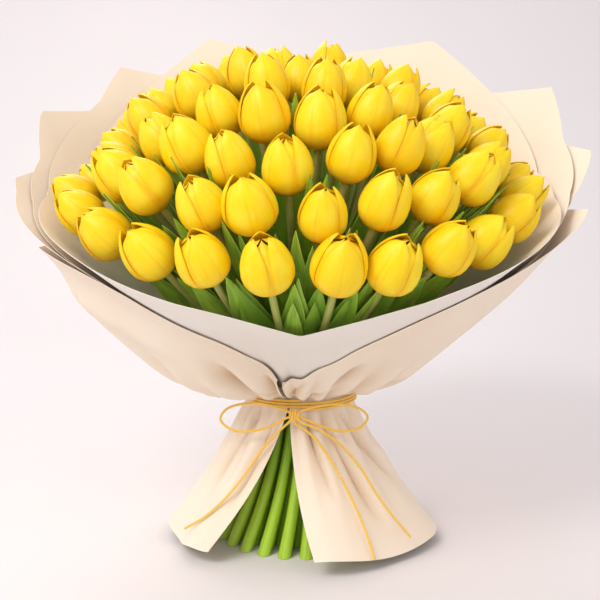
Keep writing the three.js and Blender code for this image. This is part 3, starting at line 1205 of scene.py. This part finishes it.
@dataclass
class LeafMaker:
    """Long lance-shaped leaves that rise between the stems to the gaps in the dome."""

    layout: BunchLayout
    paper: "PaperMaker"
    width: float = 27.0
    wall: float = 0.7
    bow: float = 11.0
    columns: int = 8
    rows: int = 22
    per_ring: tuple[int, ...] = (0, 1, 1, 2, 3, 6)
    inner_width: float = 0.85
    bloom_share: float = 0.4
    root_pull: float = 0.36
    tip_pull: float = 0.34
    liner_gap: float = 5.0
    twist_limit: float = 38.0
    gap_shares: tuple[float, float] = (0.1, 0.6)
    tip_rises: tuple[float, float] = (-12.0, 14.0)
    rim_drops: tuple[float, float] = (8.0, 38.0)
    rim_reaches: tuple[float, float] = (0.97, 1.05)
    starts: tuple[float, float] = (0.51, 0.57)
    widths: tuple[float, float] = (0.78, 1.2)
    waves: tuple[float, float] = (0.4, 1.4)
    seed: int = 5

    def tip(self, tulip: Tulip, side: int, dice: random.Random) -> Vector:
        """Finds where a leaf's tip goes: in a gap beside its tulip's bloom.

        Args:
            tulip: The tulip that it belongs to.
            side: 1 or -1, the side that it leans to.
            dice: Where its small differences come from.

        Returns:
            The point, in millimetres.
        """
        ring = self.layout.rings[tulip.ring]
        azimuth = tulip.azimuth + side * 360 / ring.count * dice.uniform(*self.gap_shares)
        last = self.layout.last
        place = tulip.ring / last
        if tulip.ring < last:
            tip = self.layout.bloom_centre(place + 0.5 / last, azimuth)
            return tip + self.layout.bloom_axis(place, azimuth) * dice.uniform(*self.tip_rises)
        base = self.layout.bloom_centre(1.0, azimuth)
        base -= self.layout.bloom_axis(1.0, azimuth) * dice.uniform(*self.rim_drops)
        radius = math.hypot(base.x, base.y) * dice.uniform(*self.rim_reaches)
        angle = math.degrees(math.atan2(base.x, -base.y))
        limit = self.paper.liner_radius(angle, base.z) - self.liner_gap
        return around(min(radius, limit), angle, base.z)

    def leaf(self, tulip: Tulip, side: int, dice: random.Random) -> bpy.types.Object:
        """Models one leaf.

        Args:
            tulip: The tulip that it grows on.
            side: 1 or -1, the side that it leans to.
            dice: Where its small differences come from.

        Returns:
            The leaf.
        """
        start = dice.uniform(*self.starts)
        root = tulip.stem.at(start)
        rise = tulip.stem.tangent(start)
        tip = self.tip(tulip, side, dice)
        span = (tip - root).length
        central = root.xy.length <= 1
        outward = Vector((0, -1, 0)) if central else Vector((root.x, root.y, 0)).normalized()
        root += outward * self.layout.stem_diameter / 2
        lean = (tip - root).normalized()
        nod = self.layout.bloom_axis(tulip.ring / self.layout.last, tulip.azimuth)
        inner = root + (rise + lean).normalized() * span * self.root_pull + outward * self.bow
        toward = lean * (1 - self.bloom_share) + nod * self.bloom_share
        outer = tip - toward.normalized() * span * self.tip_pull
        line = Path([bezier(root, inner, outer, tip, step / 20) for step in range(21)])
        width = self.width * dice.uniform(*self.widths)
        width *= 1.0 if tulip.ring > 3 else self.inner_width
        twist = math.radians(dice.uniform(-self.twist_limit, self.twist_limit))
        wave = dice.uniform(*self.waves)
        phase = dice.uniform(0, 6)

        def place(across_share: float, along: float) -> Vector:
            """Places a point of the leaf.

            Args:
                across_share: The share across, from 0 to 1.
                along: The share along, from 0 to 1.

            Returns:
                The point, in millimetres.
            """
            across = across_share * 2 - 1
            centre = line.at(along)
            direction = line.tangent(along)
            out = Vector((centre.x, centre.y, 0)).normalized()
            out = (out - direction * out.dot(direction)).normalized()
            out.rotate(Matrix.Rotation(twist * along, 3, direction))
            sideways = direction.cross(out)
            taper = math.sin(math.pi * min(1.0, 0.07 + 0.93 * along) ** 0.9) ** 0.8
            half = max(0.15, width / 2 * taper)
            cup = lerp(0.8, 0.12, smoothstep(along, 0.0, 0.6))
            sunk = -cup * half * (math.sqrt(across * across + 0.02) - 0.14)
            ripple = wave * across * across * math.sin(along * 13 + phase + across)
            return centre + sideways * across * half + out * (sunk + ripple)

        piece = Bench.grid("leaf", self.columns, self.rows, place)
        Bench.solidify(piece, self.wall)
        return piece

    def build(self, tulips: Sequence[Tulip]) -> list[bpy.types.Object]:
        """Makes the leaves.

        Args:
            tulips: The tulips that they belong to.

        Returns:
            The leaves, one piece for each ring that has any.
        """
        skin = LeafFinish().material()
        dice = random.Random(self.seed)
        pieces = []
        for number, ring in enumerate(self.layout.rings):
            members = [tulip for tulip in tulips if tulip.ring == number]
            leaves = []
            for tulip in members:
                for turn in range(self.per_ring[number]):
                    side = 1 if (tulip.number + turn) % 2 else -1
                    leaf = self.leaf(tulip, side, dice)
                    Bench.mark(leaf, "tone", dice.random())
                    leaves.append(leaf)
            if not leaves:
                continue
            piece = Bench.join(f"leaves_{ring.name}", leaves)
            Bench.smooth(piece, 60)
            Bench.dress(piece, skin)
            Bench.register(piece, Slot.TULIP, sorted({tulip.node for tulip in members}))
            pieces.append(piece)
        return pieces


# ---- wrapping paper ----


@dataclass(frozen=True)
class Fold:
    """A soft pocket pressed into a sheet along a line from one (azimuth, height) to another."""

    start: tuple[float, float]
    end: tuple[float, float]
    depth: float
    width: float
    upper: tuple[float, float, float] = (0.0, 0.0, 1.0)
    lip: float = 0.55
    narrow: float = 0.45
    wide: float = 1.4

    def press(self, spot: Vector, normal: Vector, start: Vector, end: Vector) -> float:
        """Says how far the paper moves along its normal.

        Args:
            spot: A place on the smooth sheet.
            normal: The sheet's outward direction there.
            start: Where the fold starts on the smooth sheet.
            end: Where it ends.

        Returns:
            The move in millimetres, inwards if negative.
        """
        line = end - start
        share = (spot - start).dot(line) / line.length_squared
        off = spot - start - line * share
        off -= normal * off.dot(normal)
        side = off.length if off.dot(Vector(self.upper)) > 0 else -off.length
        ease = smoothstep(share, -0.05, 0.2) * (1 - smoothstep(share, 0.65, 1.08))
        spread = self.width * lerp(self.narrow, self.wide, min(1.0, max(0.0, share)))
        pocket = -math.exp(-abs(side) / spread)
        lip = self.lip * math.exp(-(((side - 1.5 * spread) / (1.1 * spread)) ** 2))
        return self.depth * ease * (pocket + lip)


@dataclass(frozen=True)
class Sheet:
    """One sheet of paper: where it goes round the bunch and how its edges run."""

    name: str
    layer: int
    span: tuple[float, float]
    rim: Pairs
    hem: Pairs
    flat: tuple[float, float]
    flare: float = 1.0
    puff: float = 0.0
    opening: float = 0.0
    folds: tuple[Fold, ...] = ()


@dataclass
class PaperMaker:
    """The layers of paper: close at the tie, a collar above it and a skirt below."""

    layout: BunchLayout
    tie_height: float = 148.0
    flat_band: float = 7.0
    pitch: float = 1.5
    opening: float = 0.018
    closed_pitch: float = 0.53
    clearance: float = 1.4
    wall: float = 0.45
    roll: float = 2.5
    skirt_radius: float = 121.0
    tucked: float = 11.0
    skirt_curve: float = 1.25
    puff_rise: float = 8.0
    front_puff: float = 0.25
    hug_length: float = 60.0
    closed_azimuths: tuple[float, float] = (48.0, 85.0)
    closed_heights: tuple[float, float] = (160.0, 205.0)
    # Where the painted lit tone of the sides starts and where it is full.
    lit_side_azimuths: tuple[float, float] = (50.0, 85.0)
    rim_depth: float = 40.0
    wing_roll: float = 0.5
    # How deep a fold's pocket and a pleat's hollow press where their painted shade is full.
    crease_depth: float = 9.0
    pleat_shade_depth: float = 4.0
    tie_reach: float = 26.0
    fine_gathers: int = 24
    coarse_gathers: int = 7
    tied_gather: float = 0.9
    fine_collar: float = 2.8
    coarse_collar: float = 3.2
    collar_sway: float = 1.8
    fine_skirt: float = 1.9
    coarse_skirt: float = 5.0
    collar: tuple[tuple[float, float], ...] = ((1.5, 1500.0), (1.25, 330.0), (1.25, 252.0))
    sheets: tuple[Sheet, ...] = (
        Sheet("liner", 0, (-174, 174),
              ((-174, 430), (-110, 380), (-60, 310), (-30, 268), (0, 240), (30, 268), (60, 310),
               (110, 380), (174, 430)), ((-174, 138), (174, 138)), (0.58, 0.58)),
        Sheet("back", 1, (100, 252),
              ((100, 340), (148, 532), (180, 512), (202, 536), (252, 340)),
              ((100, 30), (148, 12), (202, 14), (252, 30)), (0.50, 0.60)),
        Sheet("left_upper", 2, (-172, -84), ((-172, 470), (-137, 498), (-130, 455), (-84, 300)),
              ((-172, 128), (-84, 128)), (0.34, 0.40)),
        Sheet("right_upper", 2, (72, 172), ((72, 300), (108, 410), (117, 468), (172, 456)),
              ((72, 128), (172, 128)), (0.36, 0.40)),
        Sheet("left_middle", 3, (-156, -60), ((-156, 450), (-115, 442), (-108, 390), (-60, 268)),
              ((-156, 128), (-60, 128)), (0.34, 0.38)),
        Sheet("right_middle", 3, (48, 156), ((48, 255), (84, 318), (98, 398), (156, 430)),
              ((48, 128), (156, 128)), (0.34, 0.38)),
        Sheet("left_lower", 4, (-144, -36), ((-144, 400), (-95, 369), (-75, 318), (-36, 228)),
              ((-144, 128), (-36, 128)), (0.33, 0.36)),
        Sheet("right_wing", 5, (-11, 168),
              ((-11, 176), (8, 196), (24, 220), (60, 284), (84, 340), (120, 330), (168, 330)),
              ((-11, 16), (30, 12), (70, 8), (168, 12)), (0.45, 0.42), 0.83, 38.0, 19.0,
              (Fold((2, 158), (31, 198), 13.0, 5.0),
               Fold((6, 157), (30, 185), -7.0, 6.0),
               Fold((-7, 157), (3, 186), 6.0, 3.0, (1.0, 0.0, 0.0)),
               Fold((34, 157), (66, 176), 7.0, 4.0),
               Fold((4, 140), (16, 62), 8.0, 5.0, (1.0, 0.0, 0.3)),
               Fold((20, 140), (44, 34), 9.0, 7.0, (1.0, 0.0, 0.3)),
               Fold((44, 140), (74, 60), 9.0, 8.0, (1.0, 0.0, 0.3)))),
        Sheet("left_wing", 6, (-168, -13),
              ((-168, 300), (-110, 300), (-77, 304), (-48, 266), (-26, 214), (-13, 182)),
              ((-168, 12), (-60, 10), (-13, 18)), (0.42, 0.42), 0.72, 68.0, -31.0,
              (Fold((-14, 158), (-38, 205), 13.0, 6.0),
               Fold((-18, 157), (-42, 190), -6.0, 7.0),
               Fold((-30, 157), (-66, 172), 7.0, 4.0),
               Fold((-15, 157), (-19, 186), 5.0, 3.0, (-1.0, 0.0, 0.0)),
               Fold((-24, 140), (-30, 50), 7.0, 6.0, (-1.0, 0.0, 0.3)),
               Fold((-46, 140), (-64, 60), 8.0, 7.0, (-1.0, 0.0, 0.3)))),
    )
    column_width: float = 1.4
    skirt_hem: float = 100.0
    short_rows: int = 4
    below_rows: int = 22
    band_rows: int = 5
    above_rows: int = 40

    def __post_init__(self) -> None:
        """Works out where the paper lies at the tie."""
        self.inner = self.layout.waist_radius + self.layout.stem_diameter / 2 + self.clearance
        self.low = self.tie_height - self.flat_band
        self.high = self.tie_height + self.flat_band

    def spread(self, azimuth: float, height: float) -> float:
        """Says how far the collar or the skirt stands out from the tie.

        Args:
            azimuth: The azimuth, in degrees.
            height: The height, in millimetres.

        Returns:
            The distance, in millimetres.
        """
        if height <= self.high:
            drop = max(0.0, 1 - height / self.low)
            reach = self.skirt_radius - self.tucked * smoothstep(-azimuth, 25, 80)
            return (reach - self.inner) * drop**self.skirt_curve
        runs = [reach * math.tanh((height - self.high) * slope / reach)
                for slope, reach in self.collar]
        back = 1 - math.cos(math.radians(azimuth))
        if back < 1:
            return lerp(runs[0], runs[1], back)
        return lerp(runs[1], runs[2], back - 1)

    def billow(self, sheet: Sheet, azimuth: float, height: float) -> float:
        """Says how far a sheet puffs out just above the tie.

        Args:
            sheet: The sheet.
            azimuth: The azimuth, in degrees.
            height: The height, in millimetres.

        Returns:
            The distance, in millimetres.
        """
        if height <= self.high:
            return 0.0
        share = lerp(self.front_puff, 1.0, smoothstep(abs(azimuth), 10, 60))
        return sheet.puff * share * (1 - math.exp((self.high - height) / self.puff_rise))

    def pleats(self, azimuth: float, height: float) -> float:
        """Shapes the gathers that all layers share, so that none cuts another.

        Args:
            azimuth: The azimuth, in degrees.
            height: The height, in millimetres.

        Returns:
            How far the paper stands out, in millimetres.
        """
        turn = math.radians(azimuth)
        fine = math.sin(self.fine_gathers * turn + 1.3 * math.sin(3 * turn + 0.7))
        coarse = math.sin(self.coarse_gathers * turn + 1.2 * math.sin(2 * turn + 1.9))
        above, below = height - self.high, self.low - height
        if above > 0:
            gather = self.tied_gather * math.exp(-above / 25) + self.fine_collar * hump(above, 14)
            sway = self.collar_sway * smoothstep(above, 60, 200) * math.sin(5 * turn + height / 70)
            return gather * fine + self.coarse_collar * hump(above, 36) * coarse + sway
        if below > 0:
            gather = self.tied_gather * math.exp(-below / 30) + self.fine_skirt * hump(below, 22)
            return gather * fine + self.coarse_skirt * (below / self.low) ** 1.2 * coarse
        return self.tied_gather * fine

    def radius(self, sheet: Sheet, azimuth: float, height: float) -> float:
        """Finds a sheet's distance from the middle of the bunch.

        Args:
            sheet: The sheet.
            azimuth: The azimuth, in degrees.
            height: The height, in millimetres.

        Returns:
            The distance, in millimetres.
        """
        off = max(0.0, abs(height - self.tie_height) - self.flat_band)
        pitch = self.pitch * (1 + self.opening * off)
        spread = self.spread(azimuth, height)
        if height <= self.high:
            return self.inner + sheet.layer * pitch + spread
        apart = max(smoothstep(abs(azimuth), *self.closed_azimuths),
                    1 - smoothstep(height, *self.closed_heights))
        layered = sheet.layer * lerp(self.closed_pitch, pitch, apart)
        puffed = sheet.flare * spread + self.billow(sheet, azimuth, height)
        top = value_at(sheet.rim, azimuth)
        hug = smoothstep(height, top - self.hug_length * smoothstep(top, 170, 260), top)
        hug *= lerp(0.95, 0.6, smoothstep(abs(azimuth), 70, 90))
        return self.inner + layered + lerp(puffed, spread, hug)

    def spot(self, sheet: Sheet, azimuth: float, height: float) -> tuple[Vector, Vector]:
        """Finds a place on the smooth sheet.

        Args:
            sheet: The sheet.
            azimuth: The azimuth, in degrees.
            height: The height, in millimetres.

        Returns:
            The place, and the sheet's outward direction there.
        """
        radius = self.radius(sheet, azimuth, height)
        slope = (self.radius(sheet, azimuth, height + 0.5) - radius) / 0.5
        normal = around(1.0, azimuth, -slope).normalized()
        return around(radius, azimuth, height), normal

    def liner_radius(self, azimuth: float, height: float) -> float:
        """Returns the inside of the innermost sheet."""
        return self.radius(self.sheets[0], azimuth, height) + self.pleats(azimuth, height)

    def sheet(self, sheet: Sheet) -> bpy.types.Object:
        """Models one sheet.

        Args:
            sheet: The sheet.

        Returns:
            The sheet, with the painted shade of its folds and pleats and the painted light of its
            sides stored on its points.
        """
        start, end = sheet.span
        skirted = min(height for _, height in sheet.hem) < self.skirt_hem
        below = self.below_rows if skirted else self.short_rows
        rows = below + self.band_rows + self.above_rows
        columns = round((end - start) / self.column_width)
        folds = [(fold, self.spot(sheet, *fold.start)[0], self.spot(sheet, *fold.end)[0])
                 for fold in sheet.folds]
        crease_shades, sides = [], []
        roll = self.wing_roll if sheet.puff else self.roll

        def place(across: float, along: float) -> Vector:
            """Places a point of the sheet.

            Args:
                across: The share across, from 0 to 1.
                along: The share along, from 0 to 1.

            Returns:
                The point, in millimetres.
            """
            azimuth = lerp(start, end, across)
            bottom, top = value_at(sheet.hem, azimuth), value_at(sheet.rim, azimuth)
            row = along * rows
            if row < below:
                height = lerp(bottom, self.low, row / below)
            elif row < below + self.band_rows:
                height = lerp(self.low, self.high, (row - below) / self.band_rows)
            else:
                share = (row - below - self.band_rows) / self.above_rows
                height = lerp(self.high, top, share**1.5)
            drop = max(0.0, 1 - height / self.low)
            swung = (across if sheet.opening < 0 else 1 - across) ** 6 * sheet.opening * drop
            spot, normal = self.spot(sheet, azimuth, height)
            press = sum(fold.press(spot, normal, *ends) for fold, *ends in folds)
            pleat = self.pleats(azimuth, height)
            near = math.exp(-abs(height - self.tie_height) / self.tie_reach)
            # Painted shade: darker in a fold's pocket and, near the tie, in a pleat's hollow.
            crease_shades.append(max(0.0, -press) / self.crease_depth
                           + max(0.0, -pleat) / self.pleat_shade_depth * near)
            # Painted light: how far this point takes the warm, lit tone of the sides.
            sides.append(smoothstep(abs(azimuth), *self.lit_side_azimuths))
            spot += normal * (press + pleat)
            rolled = roll * max(0.0, 1 - (top - height) / self.rim_depth) ** 2
            spot += around(rolled, azimuth, 0.0)
            spot.rotate(Matrix.Rotation(math.radians(swung), 3, "Z"))
            return spot

        piece = Bench.grid(f"{sheet.name}_paper", columns, rows, place)
        # Stores the painted shade of the folds and pleats and the painted light of the sides.
        Bench.mark(piece, "crease", crease_shades)
        Bench.mark(piece, "side", sides)
        Bench.solidify(piece, self.wall, 1.0)
        Bench.smooth(piece, 60)
        return piece

    def build(self) -> list[bpy.types.Object]:
        """Makes every sheet.

        Returns:
            The sheets, from the liner outwards.
        """
        # Each finish's last colour is the painted lit tone of the sides.
        liner = PaperFinish("liner_sheet_paper", (0.86, 0.805, 0.74), (0.82, 0.75, 0.67),
                            (0.68, 0.61, 0.53), (0.92, 0.79, 0.635)).material()
        cream = PaperFinish("wrapping_sheet_paper", (0.92, 0.79, 0.635), (0.90, 0.74, 0.565),
                            (0.76, 0.59, 0.42), (0.92, 0.79, 0.635)).material()
        pieces = []
        for sheet in self.sheets:
            piece = self.sheet(sheet)
            lining = sheet.layer == 0
            Bench.dress(piece, liner if lining else cream)
            Bench.register(piece, Slot.LINER if lining else Slot.WRAPPING, [f"{sheet.name}_sheet"])
            pieces.append(piece)
        return pieces


# ---- twine ----


@dataclass(frozen=True)
class Strand:
    """A loose length of twine, from the knot outwards, in millimetres."""

    name: str
    far_end: str
    points: tuple[tuple[float, float, float], ...]


@dataclass
class TwineMaker:
    """Three-strand twine: the winding, the knot, two bow loops and three tails."""

    layout: BunchLayout
    diameter: float = 2.6
    lay_length: float = 7.0
    turns: int = 3
    winding_radius: float = 58.0
    turn_pitch: float = 3.0
    tie_height: float = 148.0
    row_length: float = 0.75
    sides: int = 12
    core: float = 0.76
    swell: float = 0.27
    knot: tuple[float, float, float] = (-6.0, -64.0, 141.0)
    knot_shift: tuple[float, float, float] = (0.0, -4.0, -0.5)
    knot_turns: float = 3.1
    knot_size: tuple[float, float, float] = (7.6, 3.4, 4.9)
    crossings: tuple[tuple[tuple[float, float, float], ...], ...] = (
        ((-14, -65, 144.2), (-10, -67.5, 143.2), (-5, -69, 141.8), (-1, -67.5, 143.2),
         (2, -65, 144.2)),
        ((-14, -68, 137.6), (-9, -69.5, 139.2), (-5, -69.5, 139.6), (-1, -69.5, 139.2),
         (3, -68, 137.6)),
        ((-12, -67, 132.3), (-9, -69, 136.0), (-7, -69, 140.0)),
        ((-4, -69, 131.6), (-5.5, -70, 135.5), (-6, -69.5, 140.0)),
        ((4.2, -70, 132.4), (-0.5, -71, 135.8), (-4, -70, 140.0)),
    )
    strands: tuple[Strand, ...] = (
        Strand("bow_loop_left", "object", (
            (-13, -65, 144), (-34, -67, 151), (-56, -64, 151), (-74, -57, 143), (-79, -56, 133),
            (-66, -63, 124), (-45, -68, 125), (-26, -69, 131), (-13, -68, 138))),
        Strand("bow_loop_right", "object", (
            (1, -65, 144), (20, -68, 150), (42, -67, 151), (60, -62, 145), (67, -60, 136),
            (60, -63, 127), (42, -67, 124), (20, -69, 130), (2, -68, 138))),
        Strand("tail_left", "bare", (
            (-11, -67, 133), (-20, -68, 125), (-36, -70, 108), (-55, -78, 82), (-74, -84, 60),
            (-94, -84, 42), (-114, -74, 27))),
        Strand("tail_right_long", "bare", (
            (-5, -69, 132), (8, -70, 124), (24, -77, 107), (39, -87, 84), (52, -96, 60),
            (63, -108, 36), (71, -120, 13))),
        Strand("tail_right_short", "bare", (
            (3, -70, 133), (20, -71, 126), (43, -70, 108), (60, -74, 88), (75, -82, 65),
            (91, -88, 44), (108, -90, 24))),
    )

    def tube(self, name: str, points: Sequence[Vector]) -> bpy.types.Object:
        """Models laid twine along a line.

        Args:
            name: The piece's name.
            points: The line, in millimetres.

        Returns:
            The twine, with how deep each point lies between strands stored as groove, the share of
            painted shade there.
        """
        line = Path(list(points))
        rows = max(12, round(line.length / self.row_length))
        frames = []
        side = Vector((0.1, 0.2, 1.0))
        for row in range(rows + 1):
            direction = line.tangent(row / rows)
            side = (side - direction * side.dot(direction)).normalized()
            frames.append((line.at(row / rows), side, direction.cross(side)))

        def lobe(across: float, along: float) -> float:
            """Returns 1 on top of a strand and 0 in a groove."""
            twist = 2 * math.pi * along * line.length / self.lay_length
            return abs(math.cos(1.5 * (2 * math.pi * across - twist)))

        def place(across: float, along: float) -> Vector:
            """Places a point of the twine.

            Args:
                across: The share across, from 0 to 1.
                along: The share along, from 0 to 1.

            Returns:
                The point, in millimetres.
            """
            centre, first, second = frames[round(along * rows)]
            angle = 2 * math.pi * across
            radius = self.diameter / 2 * (self.core + self.swell * lobe(across, along))
            return centre + (first * math.cos(angle) + second * math.sin(angle)) * radius

        piece = Bench.grid(name, self.sides, rows, place)
        # The share of painted shade at each point: 1 deep in a groove, 0 on a strand.
        grooves = [1 - lobe(column / self.sides, row / rows)
                   for row in range(rows + 1) for column in range(self.sides + 1)]
        Bench.mark(piece, "groove", grooves)
        Bench.close(piece, holes=True)
        Bench.smooth(piece, 70)
        return piece

    def loose(self, skin: bpy.types.Material) -> list[bpy.types.Object]:
        """Makes the bow loops and the tails, as free cords.

        Args:
            skin: The twine's material.

        Returns:
            The cords, one piece each.
        """
        pieces = []
        for strand in self.strands:
            points = catmull([Vector(point) for point in strand.points], 12)
            piece = self.tube(f"{strand.name}_twine", points)
            Bench.dress(piece, skin)
            Bench.register(piece, Slot.TWINE, [strand.name])
            length = Path(points).length * MM
            tuple(points[0] * MM)
            [tuple(point * MM) for point in points]
            LOG.info("%s: %.0f mm of twine", piece.name, length / MM)
            pieces.append(piece)
        return pieces

    def winding(self, skin: bpy.types.Material) -> bpy.types.Object:
        """Makes the turns round the bunch.

        Args:
            skin: The twine's material.

        Returns:
            The turns, one piece.
        """
        steps = 90 * self.turns
        points = []
        for step in range(steps + 1):
            share = step / steps
            climb = (share - 0.5) * self.turns * self.turn_pitch
            azimuth = share * 360 * self.turns
            points.append(around(self.winding_radius, azimuth, self.tie_height + climb))
        piece = self.tube("binding_twine", points)
        Bench.dress(piece, skin)
        Bench.register(piece, Slot.TWINE, ["binding_turns"])
        return piece

    def tied_knot(self, skin: bpy.types.Material) -> bpy.types.Object:
        """Makes the knot: turns round the strands that meet in it.

        Args:
            skin: The twine's material.

        Returns:
            The knot, one piece.
        """
        middle = Vector(self.knot) + Vector(self.knot_shift)
        wide, deep, tall = self.knot_size
        wrap = []
        for step in range(73):
            share = step / 72
            angle = share * self.knot_turns * 2 * math.pi
            wrap.append(middle + Vector(((share - 0.5) * wide, -deep * math.cos(angle),
                                         tall * math.sin(angle))))
        pieces = [self.tube("knot_turns", wrap)]
        for number, route in enumerate(self.crossings):
            points = catmull([Vector(point) for point in route], 8)
            pieces.append(self.tube(f"knot_strand_{number}", points))
        piece = Bench.join("knot_twine", pieces)
        Bench.dress(piece, skin)
        Bench.register(piece, Slot.TWINE, ["knot"])
        return piece


# ---- the studio ----


@dataclass
class Studio:
    """A pale sweep of floor and wall, soft lights, and the camera."""

    camera_place: tuple[float, float, float] = (0.0, -1.08, 0.40)
    target: tuple[float, float, float] = (0.0, 0.0, 0.245)
    lens: float = 63.5
    floor_drop: float = 0.4

    def camera(self) -> bpy.types.Object:
        """Makes the camera.

        Returns:
            The camera.
        """
        bpy.ops.object.camera_add(location=self.camera_place)
        camera = bpy.context.active_object
        look = Vector(self.target) - Vector(self.camera_place)
        camera.rotation_euler = look.to_track_quat("-Z", "Y").to_euler()
        camera.data.lens = self.lens
        camera.data.sensor_width = 36.0
        camera.data.clip_start = 0.01
        bpy.context.scene.camera = camera
        return camera

    def sweep(self) -> bpy.types.Object:
        """Makes the floor that curves up into a wall.

        Returns:
            The sweep.
        """
        front, wall, bend, top, reach = -4000.0, 2200.0, 900.0, 3600.0, 5000.0
        flat = wall - bend - front
        arc = bend * math.pi / 2
        whole = flat + arc + top - bend

        def place(across: float, along: float) -> Vector:
            """Places a point of the sweep.

            Args:
                across: The share across, from 0 to 1.
                along: The share along, from 0 to 1.

            Returns:
                The point, in millimetres.
            """
            run = along * whole
            side = lerp(-reach, reach, across)
            if run < flat:
                return Vector((side, front + run, -self.floor_drop))
            if run < flat + arc:
                angle = (run - flat) / bend
                return Vector((side, wall - bend + bend * math.sin(angle),
                               bend * (1 - math.cos(angle)) - self.floor_drop))
            return Vector((side, wall, bend + run - flat - arc - self.floor_drop))

        piece = Bench.grid("studio_sweep", 4, 120, place)
        Bench.smooth(piece, 60)
        Bench.dress(piece, FloorFinish().material())
        return piece

    def light(
        self, name: str, place: Vector, target: Vector, size: float, power: float, colour: Colour
    ) -> None:
        """Adds a soft square light that faces a point.

        Args:
            name: The light's name.
            place: Where it is, in metres.
            target: The point that it faces.
            size: Its width, in metres.
            power: Its power, in watts.
            colour: Its colour.
        """
        bpy.ops.object.light_add(type="AREA", location=place)
        lamp = bpy.context.active_object
        lamp.name = name
        lamp.rotation_euler = (target - place).to_track_quat("-Z", "Y").to_euler()
        lamp.data.size = size
        lamp.data.energy = power
        lamp.data.color = colour

    def lights(self) -> None:
        """Adds the lights and the even surround."""
        middle = Vector((0, 0, 0.28))
        self.light("key", Vector((-1.2, -1.5, 2.0)), middle, 1.2, 40.0, (1.0, 0.975, 0.94))
        self.light("fill", Vector((1.9, -1.4, 0.9)), middle, 1.8, 7.0, (1.0, 0.96, 0.95))
        self.light("back", Vector((-0.6, 1.6, 2.0)), middle, 1.4, 18.0, (1.0, 0.97, 0.95))
        world = bpy.data.worlds.new("surround")
        world.use_nodes = True
        background = world.node_tree.nodes["Background"]
        background.inputs["Color"].default_value = (0.97, 0.935, 0.945, 1.0)
        background.inputs["Strength"].default_value = 0.72
        bpy.context.scene.world = world
        bpy.context.scene.view_settings.view_transform = "Standard"


def main() -> None:
    """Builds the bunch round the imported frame."""
    logging.basicConfig(level=logging.INFO, format="%(name)s: %(message)s")
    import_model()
    layout = BunchLayout()
    studio = Studio()
    studio.camera()
    twine = TwineMaker(layout)
    twine_skin = TwineFinish().material()
    twine.loose(twine_skin)
    twine.winding(twine_skin)
    twine.tied_knot(twine_skin)
    LOG.info("twine is tied")
    paper = PaperMaker(layout)
    LOG.info("%d sheets of paper", len(paper.build()))
    tulips = layout.tulips()
    LOG.info("%d pieces of stems", len(StemMaker(layout).build(tulips)))
    LOG.info("%d pieces of leaves", len(LeafMaker(layout, paper).build(tulips)))
    LOG.info("%d blooms", len(BloomMaker(layout).build(tulips)))
    studio.sweep()
    studio.lights()


if __name__ == "__main__":
    main()
